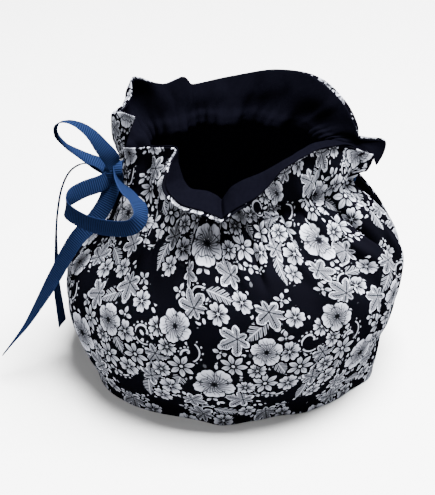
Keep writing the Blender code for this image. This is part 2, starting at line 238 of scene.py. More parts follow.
HANDLE_SPAN: Table = (
    (-65, -8.5, 126, 0.0, 0.0, 1.0), (-70, -5, 127, 0.0, 0.0, 1.0),
    (-72, 0, 128, 0.0, 0.0, 1.0), (-70, 5, 127, 0.0, 0.0, 1.0),
    (-65, 8.5, 126, 0.0, 0.0, 1.0),
)
SPOUT_SPAN: Table = (
    (66, -15, 124, 0.0, 0.0, 1.0), (69, -8, 123, 0.1, 0.0, 1.0),
    (70, 0, 122, 0.1, 0.0, 1.0), (69, 8, 122, 0.1, 0.0, 1.0),
    (66, 14, 122, 0.0, 0.0, 1.0),
)

# The knot's middle, half its width and height, how far its ribbon's width leans along Y
# and Z, and the steps in one turn of ribbon
KNOT_PLACE = Vector((-72, -2, 129))
KNOT_HALF_WIDTH = 4.8
KNOT_HALF_HEIGHT = 5.6
KNOT_LEAN = (0.1, 0.2)
KNOT_STEPS = 12

# Where the back panel was cut from the print, in millimetres.
BACK_PRINT_SHIFT = (38.0, 31.0)

# The repeat of the print, in millimetres, and its motifs laid out on it.
# (x, y, radius, turn)
REPEAT = (95.0, 84.0)
PEONIES: Table = (
    (30, 42, 13.0, 20), (8, 79, 10.0, 100), (59, 67, 9.5, 200),
)
BLOSSOMS: Table = (
    (73, 42, 6.8, 15), (72, 66, 6.8, 50), (34, 4, 7.0, 30), (4, 37, 7.0, 60),
    (50, 12, 6.6, 5), (78, 2, 6.6, 80), (92, 26, 6.4, 20),
)
ROSETTES: Table = (
    (48, 41, 5.8, 0), (0, 50, 5.8, 25), (92, 76, 6.0, 40), (4, 66, 5.8, 10),
    (54, 55, 5.6, 30),
)
DAISIES: Table = (
    (59, 44, 8.6, 10), (12, 55, 8.0, 35), (41, 58, 7.6, 50), (79, 54, 8.0, 5),
)
LEAVES: Table = (
    (47, 27, 11.0, 200), (88, 42, 10.5, 330), (64, 8, 11.0, 80), (20, 7, 11.0, 250),
    (43, 75, 10.5, 150), (92, 60, 10.0, 60), (15, 26, 9.0, 20),
)
FERNS: Table = (
    (84, 30, 9.0, 100), (38, 14, 10.0, 20), (54, 80, 10.0, 140), (10, 44, 9.0, 110),
    (67, 57, 9.0, 60),
)
SCROLLS: Table = (
    (66, 37, 10.0, 240), (26, 14, 9.0, 120), (84, 70, 9.0, 30), (16, 64, 9.0, 300),
)
BUDS: Table = (
    (62, 34, 4.8, 10), (54, 35, 4.8, 60), (70, 75, 4.6, 0), (28, 29, 4.6, 45),
    (84, 35, 4.6, 70), (34, 66, 4.6, 20), (9, 14, 4.8, 15), (74, 14, 4.6, 30),
    (80, 47, 4.4, 0),
)
BARE_PATCHES: Table = (
    (27, 70, 11.5, 0), (71, 27, 12.0, 0), (88, 12, 8.0, 0), (3, 20, 8.5, 0),
    (78, 79, 8.0, 0), (48, 2, 5.0, 0), (96, 3, 5.0, 0),
)


def smoothstep(low: float, high: float, value: float) -> float:
    """0 below low, 1 above high, with a smooth rise between them.

    Args:
        low: Where the rise begins.
        high: Where it ends.
        value: The place to read.

    Returns:
        The share of the rise, 0 to 1.
    """
    share = min(max((value - low) / (high - low), 0.0), 1.0)
    return share * share * (3.0 - 2.0 * share)


def bump(distance: float, width: float) -> float:
    """A smooth hill of height 1 that ends at the given half width.

    Args:
        distance: How far the place is from the hill's middle.
        width: The hill's half width.

    Returns:
        The hill's height there, 0 to 1.
    """
    if abs(distance) >= width:
        return 0.0
    return math.cos(0.5 * math.pi * distance / width) ** 2


def blend_rows(rows: Sequence[Row], key: float) -> list[float]:
    """Read a table at a key in its first column, along a smooth curve.

    Args:
        rows: The table, in rising order of its first column.
        key: The place in that column.

    Returns:
        The other columns' values there.
    """
    key = min(max(key, rows[0][0]), rows[-1][0])
    index = max(i for i in range(len(rows) - 1) if rows[i][0] <= key)
    low, high = rows[index], rows[index + 1]
    before = rows[max(index - 1, 0)]
    after = rows[min(index + 2, len(rows) - 1)]
    span = high[0] - low[0]
    share = (key - low[0]) / span
    values = []
    for column in range(1, len(low)):
        rise_in = (high[column] - before[column]) / (high[0] - before[0])
        rise_out = (after[column] - low[column]) / (after[0] - low[0])
        values.append(
            (2 * share**3 - 3 * share**2 + 1) * low[column]
            + (share**3 - 2 * share**2 + share) * rise_in * span
            + (3 * share**2 - 2 * share**3) * high[column]
            + (share**3 - share**2) * rise_out * span
        )
    return values


def add_piece(name: str, mesh: BMesh, finish: Material) -> Object:
    """Turn a bmesh into a smooth-shaded object at the origin.

    Args:
        name: The piece's name.
        mesh: Its mesh, in metres, counted from the hem ring's middle. It is freed.
        finish: Its material.

    Returns:
        The linked object.
    """
    bmesh.ops.translate(mesh, vec=HEM_CENTRE, verts=mesh.verts)
    data = bpy.data.meshes.new(name)
    mesh.to_mesh(data)
    mesh.free()
    data.shade_smooth()
    data.materials.append(finish)
    piece = bpy.data.objects.new(name, data)
    bpy.context.scene.collection.objects.link(piece)
    return piece


def declare(piece: Object, node: str) -> None:
    """Attach a piece to the root body and hide the node that it stands for.

    Args:
        piece: The sheet.
        node: The node.
    """
    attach(piece, "root")
    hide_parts(node)


def add_thickness(piece: Object, thickness: float, offset: float) -> None:
    """Give a sheet its thickness and a round edge.

    Args:
        piece: The sheet.
        thickness: In metres.
        offset: 1 puts it outside the sheet, -1 inside, 0 half on each side.
    """
    solidify = piece.modifiers.new("thickness", "SOLIDIFY")
    solidify.thickness = thickness
    solidify.offset = offset
    rounding = piece.modifiers.new("rounding", "SUBSURF")
    rounding.levels = 1
    rounding.render_levels = 1


@dataclass(frozen=True)
class GridSteps:
    """How fine a cloth grid is before its rounding."""

    columns: int
    body_rows: int
    frill_rows: int


@dataclass(frozen=True)
class ClothForm:
    """The gathered shape that one side's panel and lining share.

    Lengths are in millimetres unless said otherwise.

    Attributes:
        side: Which of the two sides.
        seam_overlap: How far each panel reaches past the side seam, in metres.
        seam_depth: How deep the cloth dips at the side seam.
        seam_reach: How far from the seam the dip ends.
        seam_top: Where up the cloth the dip has faded out.
        pleats: Gathers across the casing.
        pleat_height: Their height at the casing.
        pleat_drop: How far below the casing they reach.
        pleat_climb: How far above it they reach.
        pleat_wander: How unevenly they stand, in pleats.
        wander_scale: Wanders in a millimetre of cloth.
        uneven: How much the drop varies, as a share of it.
        uneven_scale: Its changes in a millimetre of cloth.
        channel_depth: How far the casing's two stitch lines pull in.
        channel_offset: How far each line is from the casing's middle.
        channel_width: Half the width that a line pulls in.
        ripple: Height of the soft unevenness all over.
        ripple_scale: Ripples in a millimetre of cloth.
    """

    side: Side
    seam_overlap: float = 0.15 * MM
    seam_depth: float = 1.5
    seam_reach: float = 6.0
    seam_top: float = 74.0
    pleats: float = 26.0
    pleat_height: float = 1.8
    pleat_drop: float = 24.0
    pleat_climb: float = 16.0
    pleat_wander: float = 1.6
    wander_scale: float = 0.022
    uneven: float = 0.5
    uneven_scale: float = 0.09
    channel_depth: float = 0.9
    channel_offset: float = 5.5
    channel_width: float = 3.0
    ripple: float = 0.5
    ripple_scale: float = 0.045

    def around(self, angle: float, radius: float, height: float) -> Vector:
        """The point at an angle in degrees around the panel; the rest in metres."""
        turn = math.radians(angle)
        out = self.side.value * radius * math.sin(turn)
        return Vector((-radius * math.cos(turn), out, height))

    def fold_height(self, angle: float, height: float) -> float:
        """How far the folds move the cloth outward at one place.

        Args:
            angle: The place's angle around the panel.
            height: Its height in metres.

        Returns:
            The move, in metres.
        """
        total = 0.0
        for top, top_angle, foot, foot_angle, width, rise in FOLDS[self.side]:
            down = (top * MM - height) / ((top - foot) * MM)
            middle = top_angle + (foot_angle - top_angle) * down
            fade = smoothstep(1.0, 0.35, down) * smoothstep(-0.3, 0.0, down)
            total += rise * MM * fade * bump(angle - middle, width)
        return total

    def body_radius(self, angle: float, height: float) -> float:
        """Radius of the body with its folds and the uneven hem.

        Args:
            angle: The place's angle around the panel.
            height: Its height in metres.

        Returns:
            The radius, in metres.
        """
        handle, front, spout, back = blend_rows(BODY_SECTIONS, height / MM)
        across = math.cos(math.radians(angle))
        end = handle if across > 0 else spout
        face = front if self.side is Side.FRONT else back
        radius = MM * (end * across**2 + face * (1.0 - across**2))
        radius += self.fold_height(angle, height)
        low = smoothstep(30 * MM, HEM_HEIGHT, height)
        for middle, width, rise in HEM_POINTS[self.side]:
            radius += rise * MM * low * bump(angle - middle, width)
        return radius

    def body_point(self, share: float, height: float) -> Vector:
        """A point on the body: columns are even at the widest and drift in the gathers.

        Args:
            share: Place across the cloth, 0 to 1.
            height: Height in metres.

        Returns:
            The point.
        """
        gathered = smoothstep(SLIT_BASE, NECK_HEIGHT, height)
        neck_angle = blend_rows(FRILL[self.side], 100.0 * share)[0]
        angle = 180.0 * share + (neck_angle - 180.0 * share) * gathered
        radius = self.body_radius(angle, max(height, HEM_HEIGHT))
        point = self.around(angle, radius, height)
        point.y -= self.side.value * self.seam_overlap
        return point

    def edge_rise(self, share: float, outer: bool) -> float:
        """Where the cloth ends on the frill's rise, short of 1 where the other rolls over it.

        Args:
            share: Place across the cloth, 0 to 1.
            outer: Whether this is the printed outer cloth.

        Returns:
            The rise there.
        """
        roll = blend_rows(EDGE_ROLLS[self.side], 100.0 * share)[0]
        short = max(-roll, 0.0) if outer else max(roll, 0.0)
        return 1.0 - short / FRILL_LENGTH

    def frill_point(self, share: float, rise: float) -> Vector:
        """A point on the frill.

        Args:
            share: Place across the cloth, 0 to 1.
            rise: 0 at the casing, 1 at the frill's edge.

        Returns:
            The point.
        """
        neck = self.body_point(share, NECK_HEIGHT)
        row = blend_rows(FRILL[self.side], 100.0 * share)
        ridge = self.around(row[1], row[2] * MM, row[3] * MM)
        edge = self.around(row[4], row[5] * MM, row[6] * MM)
        belly = neck.lerp(ridge, 0.5)
        belly += Vector((neck.x, neck.y, 0)).normalized() * FRILL_BELLY * MM
        stops = (neck, belly, ridge, edge)
        shares = (0.0, RIDGE_SHARE / 2, RIDGE_SHARE, 1.0)
        rows = [(key, *stop) for key, stop in zip(shares, stops)]
        return Vector(blend_rows(rows, rise))

    def relief(self, across: float, up: float, casing: float) -> float:
        """Fine relief of the cloth, outward, in millimetres.

        Args:
            across: Place on the flat cloth from the handle seam, in millimetres.
            up: Place from the hem, in millimetres.
            casing: Where the casing is on that scale.

        Returns:
            How far the cloth stands out there.
        """
        seed = Vector((across, 0.0, up)) * self.ripple_scale
        seed.y = 7.0 * self.side.value
        total = self.ripple * (noise.noise(seed) + 0.5 * noise.noise(seed * 2.7))
        total += self.pleat(across, casing - up)
        for line in (-self.channel_offset, self.channel_offset):
            total -= self.channel_depth * bump(casing - up - line, self.channel_width)
        seam_fade = smoothstep(self.seam_top, self.seam_top - 12.0, up)
        for edge in (0.0, PANEL_WIDTH / MM):
            total -= self.seam_depth * seam_fade * bump(across - edge, self.seam_reach)
        return total + sum(self.crease(row, across, up) for row in CREASES[self.side])

    def pleat(self, across: float, below: float) -> float:
        """Height of the gathers at one place.

        Args:
            across: Place on the flat cloth from the handle seam, in millimetres.
            below: How far below the casing it is.

        Returns:
            The height, in millimetres.
        """
        side = self.side.value
        wander = noise.noise(Vector((across * self.wander_scale, 3.0 * side, 0.0)))
        pleat = self.pleats * across * MM / PANEL_WIDTH + self.pleat_wander * wander
        if below > 0:
            change = noise.noise(Vector((across * self.uneven_scale, 0.0, 5.0)))
            drop = self.pleat_drop * (1.0 + self.uneven * change)
            fade = smoothstep(drop, 0.0, below)
        else:
            fade = smoothstep(-self.pleat_climb, 0.0, below)
        return self.pleat_height * fade * math.cos(2.0 * math.pi * pleat)

    @staticmethod
    def crease(row: Row, across: float, up: float) -> float:
        """Height of one soft crease at a place on the flat cloth.

        Args:
            row: The crease, a row of CREASES.
            across: Place from the handle seam, in millimetres.
            up: Place from the hem.

        Returns:
            The height, in millimetres.
        """
        start_x, start_y, end_x, end_y, half_width, height = row
        run = Vector((end_x - start_x, end_y - start_y))
        place = Vector((across - start_x, up - start_y))
        along = place.dot(run) / run.length_squared
        off = abs(place.x * run.y - place.y * run.x) / run.length
        fade = smoothstep(-0.15, 0.3, along) * smoothstep(1.15, 0.6, along)
        return height * fade * bump(off, half_width)

    def sheet(self, foot: float, steps: GridSteps, inset: float, outer: bool) -> BMesh:
        """The cloth as a grid, with its relief and with the flat cloth as its UV map.

        Args:
            foot: Height of the lowest row.
            steps: How fine the grid is.
            inset: How far inside the shared surface the sheet lies.
            outer: Whether this is the printed outer cloth.

        Returns:
            The sheet, with its normals outward.
        """
        tall = NECK_HEIGHT - foot
        heights = [foot + tall * i / steps.body_rows for i in range(steps.body_rows + 1)]
        rows = len(heights) + steps.frill_rows
        mesh = bmesh.new()
        bmesh.ops.create_grid(
            mesh, x_segments=steps.columns, y_segments=rows - 1, size=0.5, calc_uvs=True
        )
        places: dict[BMVert, tuple[int, int]] = {}
        columns: list[list[BMVert]] = [[] for _ in range(steps.columns + 1)]
        for vertex in sorted(mesh.verts, key=lambda v: (round(v.co.y, 5), v.co.x)):
            column = round((vertex.co.x + 0.5) * steps.columns)
            row = len(columns[column])
            columns[column].append(vertex)
            places[vertex] = (column, row)
            share = column / steps.columns
            if row < len(heights):
                vertex.co = self.body_point(share, heights[row])
            else:
                rise = (row - len(heights) + 1) / steps.frill_rows
                vertex.co = self.frill_point(share, rise * self.edge_rise(share, outer))
        if self.side is Side.BACK:
            bmesh.ops.reverse_faces(mesh, faces=mesh.faces)
        mesh.normal_update()
        travel = self.travels(columns, foot / MM)
        flat = {
            vertex: (PANEL_WIDTH / MM * column / steps.columns, travel[column][row])
            for vertex, (column, row) in places.items()
        }
        casing_row = len(heights) - 1
        shifts = {}
        for vertex, (column, row) in places.items():
            across, up = flat[vertex]
            out = self.relief(across, up, travel[column][casing_row])
            shifts[vertex] = vertex.normal * (out * MM - inset)
        for vertex, shift in shifts.items():
            vertex.co += shift
            vertex.co.z = max(vertex.co.z, 0.0)
        layer = mesh.loops.layers.uv.verify()
        for face in mesh.faces:
            for loop in face.loops:
                across, up = flat[loop.vert]
                if self.side is Side.BACK:
                    across, up = BACK_PRINT_SHIFT[0] - across, BACK_PRINT_SHIFT[1] + up
                loop[layer].uv = (across, up)
        return mesh

    @staticmethod
    def travels(columns: list[list[BMVert]], start: float) -> list[list[float]]:
        """Measure how far up the flat cloth each vertex lies.

        Args:
            columns: The vertices, column by column.
            start: Where the lowest row lies, in millimetres.

        Returns:
            The places in millimetres, column by column.
        """
        result = []
        for column in columns:
            travel = [start]
            for low, high in zip(column, column[1:]):
                travel.append(travel[-1] + (high.co - low.co).length / MM)
            result.append(travel)
        return result


def math_method(operation: str) -> Callable[..., "Term"]:
    """A method of Term that is one math node.

    Args:
        operation: The node's operation.

    Returns:
        The method, whose values follow the term itself.
    """

    def method(term: "Term", *values: "Term | float") -> "Term":
        """The node's result."""
        return work_out(operation, term, *values)

    return method


@dataclass(frozen=True)
class Term:
    """One number worked out by a material's math nodes, by the socket it comes out of."""

    socket: NodeSocket

    __add__ = __radd__ = math_method("ADD")
    __mul__ = __rmul__ = math_method("MULTIPLY")
    __sub__ = math_method("SUBTRACT")
    __abs__ = math_method("ABSOLUTE")
    sin = math_method("SINE")
    cos = math_method("COSINE")
    largest = math_method("MAXIMUM")

    def __rsub__(self, other: float) -> "Term":
        """The difference from a plain number."""
        return work_out("SUBTRACT", other, self)

    def wrap(self, reach: float) -> "Term":
        """The number brought between -reach and reach by whole steps."""
        return work_out("WRAP", self, reach, -reach)

    def fold(self, count: int) -> "Term":
        """An angle's distance from the nearest of count spokes."""
        return abs(self.wrap(math.pi / count))

    def below(self, limit: "Term | float", soft: float = 0.035) -> "Term":
        """1 where the number is under the limit and 0 over it, with a soft edge.

        Args:
            limit: The limit.
            soft: How wide the soft edge is.

        Returns:
            The share, 0 to 1.
        """
        if isinstance(limit, Term):
            return work_out("MULTIPLY_ADD", limit - self, 1 / soft, 0.5, clamp=True)
        return work_out("MULTIPLY_ADD", self, -1 / soft, limit / soft + 0.5, clamp=True)

    def mix(self, other: "Term | float", share: "Term") -> "Term":
        """This number where share is 0, the other where it is 1."""
        return work_out("MULTIPLY_ADD", other - self, share, self)


def feed(node: Node, inputs: dict[int | str, NodeSocket | Row | float]) -> None:
    """Link or set the inputs of a node.

    Args:
        node: The node.
        inputs: What goes into each input, by its number or name.
    """
    for key, value in inputs.items():
        if isinstance(value, NodeSocket):
            node.id_data.links.new(value, node.inputs[key])
        else:
            node.inputs[key].default_value = value


def work_out(operation: str, *values: Term | float, clamp: bool = False) -> Term:
    """Work out one number with a math node.

    Args:
        operation: The node's operation.
        values: Its inputs, at least one of them a term.
        clamp: Whether the result is kept between 0 and 1.

    Returns:
        The result.
    """
    inputs = [value.socket if isinstance(value, Term) else value for value in values]
    tree = next(value.id_data for value in inputs if isinstance(value, NodeSocket))
    node = tree.nodes.new("ShaderNodeMath")
    node.operation = operation
    node.use_clamp = clamp
    feed(node, dict(enumerate(inputs)))
    return Term(node.outputs[0])


def vector_node(operation: str, vector: NodeSocket, *others: NodeSocket | Row) -> NodeSocket:
    """One vector math node.

    Args:
        operation: The node's operation.
        vector: Its first input.
        others: Its further inputs, each a socket or three numbers.

    Returns:
        The vector, or the number where the operation gives one.
    """
    node = vector.id_data.nodes.new("ShaderNodeVectorMath")
    node.operation = operation
    feed(node, dict(enumerate((vector, *others))))
    return node.outputs["Value" if operation == "LENGTH" else "Vector"]


def choose(
    kind: str, share: Term, first: NodeSocket | Row, second: NodeSocket | Row
) -> NodeSocket:
    """Mix two vectors or colours.

    Args:
        kind: VECTOR or RGBA.
        share: 0 for the first, 1 for the second, and a blend between.
        first: The first, a socket or its numbers.
        second: The second.

    Returns:
        The mix.
    """
    node = share.socket.id_data.nodes.new("ShaderNodeMix")
    node.data_type = kind
    start, result = MIX_SOCKETS[kind]
    feed(node, {0: share.socket, start: first, start + 1: second})
    return node.outputs[result]


def split(vector: NodeSocket) -> list[Term]:
    """The three numbers of a vector."""
    parts = vector.id_data.nodes.new("ShaderNodeSeparateXYZ")
    feed(parts, {0: vector})
    return [Term(socket) for socket in parts.outputs]


def mottle(cloth: NodeSocket, scale: float, detail: float = 2.0) -> Term:
    """Soft noise over the cloth, from 0 to 1.

    Args:
        cloth: The flat cloth in millimetres.
        scale: Blotches in a millimetre.
        detail: How many finer layers it has.

    Returns:
        The noise.
    """
    texture = cloth.id_data.nodes.new("ShaderNodeTexNoise")
    feed(texture, {"Scale": scale, "Detail": detail, "Vector": cloth})
    return Term(texture.outputs[0])


def relief_normal(height: Term, strength: float, distance: float) -> NodeSocket:
    """The normal of a surface with a fine relief.

    Args:
        height: The relief, 0 to 1.
        strength: How strongly it shows.
        distance: Its depth in metres.

    Returns:
        The normal.
    """
    bumped = height.socket.id_data.nodes.new("ShaderNodeBump")
    feed(bumped, {"Strength": strength, "Distance": distance, "Height": height.socket})
    return bumped.outputs[0]


@dataclass(frozen=True)
class Motif:
    """A drawn motif.

    Attributes:
        cover: 1 where it hides what is under it, its dark outline included.
        tone: How white it is.
    """

    cover: Term
    tone: Term


@dataclass(frozen=True)
class FlowerPrint:
    """The white print on navy cotton, drawn on the flat cloth.

    Lengths in the drawings are in motif radii, angles in radians and tones from 0 to 1.

    Attributes:
        cloth: The flat cloth in millimetres.
        outline: Width of the dark outline, in motif radii.
        seed_pitch: Distance between the small ovals, in millimetres.
        seed_share: The share of them that is printed.
        seed_length: Half the length of one, in pitches.
        seed_width: Half its width.
        seed_scatter: How unevenly they lie, 0 to 1.
    """

    cloth: NodeSocket
    outline: float = 0.17
    seed_pitch: float = 4.6
    seed_share: float = 0.48
    seed_length: float = 0.36
    seed_width: float = 0.2
    seed_scatter: float = 0.7

    def nearest(self, spots: Table) -> tuple[Term, Term]:
        """Find the nearest motif of one kind on the repeating print.

        Args:
            spots: The motifs as (x, y, radius, turn).

        Returns:
            The distance from its middle, 1 at its radius, and the direction in radians.
        """
        half_x, half_y = REPEAT[0] / 2, REPEAT[1] / 2
        local, best = None, None
        for x, y, radius, turn in spots:
            away = vector_node("SUBTRACT", self.cloth, (x, y, -math.radians(turn) * MM))
            away = vector_node("WRAP", away, (half_x, half_y, 1), (-half_x, -half_y, -1))
            away = vector_node("MULTIPLY", away, (1 / radius, 1 / radius, 1))
            reach = Term(vector_node("LENGTH", away))
            if local is None:
                local, best = away, reach
                continue
            local = choose("VECTOR", work_out("LESS_THAN", reach, best), local, away)
            best = work_out("MINIMUM", reach, best)
        x, y, turn = split(local)
        return best, turn * (1 / MM) + work_out("ARCTAN2", y, x)

    def petals(
        self, spots: Table, count: int, middle: float, half: float, width: float
    ) -> Motif:
        """Separate pointed petals round a dot.

        Args:
            spots: Where the motifs are.
            count: Petals on each.
            middle: How far out a petal's middle is.
            half: Half a petal's length.
            width: Half its width.

        Returns:
            The motif.
        """
        reach, angle = self.nearest(spots)
        fan = angle.fold(count)
        out = reach * fan.cos()
        off = reach * fan.sin()
        along = (out - middle) * (1 / half)
        edge = off + along * along * width
        petal = edge.below(width)
        crease = off.below(0.02) * out.below(middle + 0.05, 0.3)
        dot = reach.below(0.12)
        tone = petal * (out * 0.45 + 0.5) * (1.0 - crease * 0.6)
        cover = edge.below(width + self.outline * 1.5).largest(reach.below(0.2))
        return Motif(cover, tone.largest(dot * 0.9))

    def blossom(self, spots: Table, count: int) -> Motif:
        """Broad notched petals with dark strokes round a speckled heart.

        Args:
            spots: Where the motifs are.
            count: Petals on each.

        Returns:
            The motif.
        """
        reach, angle = self.nearest(spots)
        half = math.pi / count
        fan = angle.fold(count)
        part = fan * (1 / half)
        limit = part * (0.42 - part * part * 0.86) + 0.84
        petal = reach.below(limit)
        crack = (reach * (half - fan)).below(0.04)
        ray = angle.fold(3 * count)
        length = abs((angle * 4.0 + 0.6).sin()) * 0.22 + 0.4
        stroke = (reach * ray).below(0.032) * reach.below(length, 0.16)
        heart = reach.below(abs((angle * 3.5).cos()) * 0.1 + 0.14)
        tone = petal * (reach * 0.5 + 0.46) * (1.0 - crack)
        tone = tone * (1.0 - stroke * 0.9) * (1.0 - heart)
        speck = (angle.fold(5) * reach).below(0.035) * reach.below(0.17)
        return Motif(reach.below(limit + self.outline * 1.4), tone.largest(speck * 0.85))

    def peony(self, spots: Table) -> Motif:
        """A large lumpy flower: wide petals in two rounds, dark strokes from a ragged heart.

        Args:
            spots: Where the motifs are.

        Returns:
            The motif.
        """
        reach, angle = self.nearest(spots)
        sway = angle + (angle * 3.0 + 0.7).sin() * 0.12
        lobe = sway.fold(5) * (5 / math.pi)
        lump = abs((angle * 9.0 + (angle * 2.0).sin()).sin()) * 0.05
        limit = lump + 0.93 - lobe * lobe * lobe * 0.24
        whole = reach.below(limit)
        crack = (reach * (math.pi / 5 - sway.fold(5))).below(0.026) * (1.0 - reach.below(0.5))
        turned = angle + 0.55
        inner = abs((turned * 2.5).cos()) * 0.16 + 0.44 + lump
        rim = abs(reach - inner).below(0.024) * (turned * 3.0).sin().below(0.6, 0.5)
        curve = angle + (reach * 6.0).sin() * 0.14
        length = abs((angle * 3.5 + 0.4).cos()) * 0.34 + 0.36
        stroke = (reach * curve.fold(23)).below(0.022) * reach.below(length + 0.15, 0.25)
        heart = reach.below(abs((angle * 4.5).sin()) * 0.13 + 0.07, 0.06)
        light = abs((sway.fold(5) - 0.2) * 1.6).below(0.5, 0.5) * 0.14
        tone = whole * (reach * 0.6 + 0.27 + light) * (1.0 - stroke * 0.6)
        tone = tone * (1.0 - crack * 0.9) * (1.0 - rim * 0.85) * (1.0 - heart * 0.95)
        speck = (reach * angle.fold(7)).below(0.024) * abs(reach - 0.2).below(0.035)
        return Motif(reach.below(limit + self.outline * 0.7), tone.largest(speck * 0.8))

    def leaf(self, spots: Table) -> Motif:
        """A deeply lobed leaf: toothed bright edge, dark veins and slanting dark strokes.

        Args:
            spots: Where the motifs are.

        Returns:
            The motif.
        """
        reach, angle = self.nearest(spots)
        fan = abs(angle.wrap(math.radians(30.0)))
        length = angle.cos() * 0.24 + 0.8
        teeth = abs((reach * 15.0 + fan * 8.0).sin()) * 0.1
        limit = length * (1.0 - fan * fan * 1.5 - fan * 0.3) + teeth
        blade = reach.below(limit)
        vein = (reach * fan).below(0.026) * reach.below(length * 0.85, 0.1)
        hatch = abs((reach - fan * 1.1).wrap(0.085)).below(0.03)
        hatch = hatch * (1.0 - reach.below(0.2)) * reach.below(limit - 0.1)
        tone = blade * (1.0 - reach.below(limit - 0.09) * 0.36)
        tone = tone * (1.0 - vein * 0.95) * (1.0 - hatch * 0.75)
        return Motif(reach.below(limit + self.outline * 0.8), tone)

    def fern(self, spots: Table) -> Motif:
        """A sprig of slanting leaflets on a thin stem.

        Args:
            spots: Where the motifs are.

        Returns:
            The motif.
        """
        reach, angle = self.nearest(spots)
        along = reach * angle.cos()
        off = abs(reach * angle.sin())
        near = reach.below(1.1)
        span = (1.0 - along * along) * (0.44 - along * 0.16)
        leaflet = abs((along - off * 0.95).wrap(0.17))
        width = 0.15 - off * 0.16
        inside = off.below(span) * near
        blade = leaflet.below(width) * inside
        crease = leaflet.below(0.024) * (1.0 - off.below(0.08))
        stem = off.below(0.04) * abs(along).below(0.98)
        tone = (blade * (off * 0.7 + 0.55) * (1.0 - crease * 0.9)).largest(stem * 0.85)
        cover = off.below(span + self.outline) * near
        return Motif(cover.largest(stem), tone)

    def scroll(self, spots: Table) -> Motif:
        """A thin curling stem with dots along its outside.

        Args:
            spots: Where the motifs are.

        Returns:
            The motif.
        """
        reach, angle = self.nearest(spots)
        turn = (angle * (0.5 / math.pi) + 0.5).wrap(0.5) + 0.5
        curl = turn * 0.6 + 0.22
        off = reach - curl
        line = abs(off).below(0.085 - turn * 0.045)
        halo = abs(off).below(0.16 - turn * 0.045)
        seen = 1.0 - turn.below(0.06)
        fan = reach * angle.fold(13)
        beyond = off - 0.2
        dot = (beyond * beyond * 1.6 + fan * fan).below(0.0062, 0.004) * seen
        tone = (line * seen * 0.88).largest(dot * 0.8)
        return Motif((halo * seen).largest(dot), tone)

    def seeds(self) -> Term:
        """Small ovals scattered between the motifs, none on the bare patches.

        Returns:
            Their whiteness.
        """
        cells = 1 / self.seed_pitch
        cell = vector_node("MULTIPLY", self.cloth, (cells, cells, 1.0))
        scatter = cell.id_data.nodes.new("ShaderNodeTexVoronoi")
        scatter.voronoi_dimensions = "2D"
        feed(scatter, {"Scale": 1.0, "Randomness": self.seed_scatter, "Vector": cell})
        x, y, _ = split(vector_node("SUBTRACT", cell, scatter.outputs["Position"]))
        turn, chance, _ = split(scatter.outputs["Color"])
        angle = work_out("ARCTAN2", y, x) + turn * math.tau
        reach = Term(scatter.outputs["Distance"])
        along = reach * angle.cos() * (1 / self.seed_length)
        off = reach * angle.sin() * (1 / self.seed_width)
        oval = (along * along + off * off).below(1.0, 0.25)
        bare_reach, bare_angle = self.nearest(BARE_PATCHES)
        bare = bare_reach.below((bare_angle * 3.0).sin() * 0.08 + 1.0, 0.05)
        return oval * chance.below(self.seed_share) * (1.0 - bare) * 0.9

    def whole(self) -> Term:
        """Draw the print, each motif over the last.

        Returns:
            Its whiteness, 0 on the bare ground.
        """
        tone = self.seeds()
        motifs = (
            self.scroll(SCROLLS),
            self.petals(BUDS, 4, 0.6, 0.42, 0.26),
            self.fern(FERNS),
            self.leaf(LEAVES),
            self.petals(DAISIES, 7, 0.61, 0.4, 0.2),
            self.blossom(ROSETTES, 7),
            self.blossom(BLOSSOMS, 5),
            self.peony(PEONIES),
        )
        for motif in motifs:
            tone = tone.mix(motif.tone, motif.cover)
        return tone


@dataclass(frozen=True)
class Weave:
    """Crossing threads as a bump, on a UV map in millimetres.

    Attributes:
        pitch: Distance between threads, in millimetres.
        strength: How strongly they show.
        depth: Their depth, in metres.
        slub_scale: Thick places in a millimetre of thread.
    """

    pitch: float = 0.42
    strength: float = 0.25
    depth: float = 0.15 * MM
    slub_scale: float = 0.9

    def normal(self, cloth: NodeSocket) -> NodeSocket:
        """Raise the threads.

        Args:
            cloth: The flat cloth in millimetres.

        Returns:
            The bumped normal.
        """
        across, up, _ = split(cloth)
        turns = 2 * math.pi / self.pitch
        threads = (across * turns).sin() * (up * turns).sin()
        height = threads * 0.5 + mottle(cloth, self.slub_scale)
        return relief_normal(height, self.strength, self.depth)


def new_material(name: str) -> tuple[Material, Node]:
    """A node material and its shader."""
    material = bpy.data.materials.new(name)
    material.use_nodes = True
    return material, material.node_tree.nodes["Principled BSDF"]


@dataclass(frozen=True)
class Cloth:
    """A cloth's finish, without a gloss, on a UV map in millimetres of flat cloth.

    Attributes:
        name: Its name.
        dark: Its darker colour.
        light: Its lighter colour.
        roughness: Its roughness.
    """

    name: str
    dark: Row
    light: Row
    roughness: float

    def pattern(self, cloth: NodeSocket) -> tuple[Term, NodeSocket]:
        """Draw the finish.

        Args:
            cloth: The flat cloth in millimetres.

        Returns:
            The share of the lighter colour, and the normal of the relief.
        """
        raise NotImplementedError

    def make(self) -> Material:
        """Make the finish.

        Returns:
            The material.
        """
        material, shader = new_material(self.name)
        place = material.node_tree.nodes.new("ShaderNodeTexCoord")
        share, normal = self.pattern(place.outputs["UV"])
        inputs = {
            "Base Color": choose("RGBA", share, self.dark, self.light),
            "Roughness": self.roughness,
            "Specular IOR Level": 0.0,
            "Normal": normal,
        }
        feed(shader, inputs)
        return material


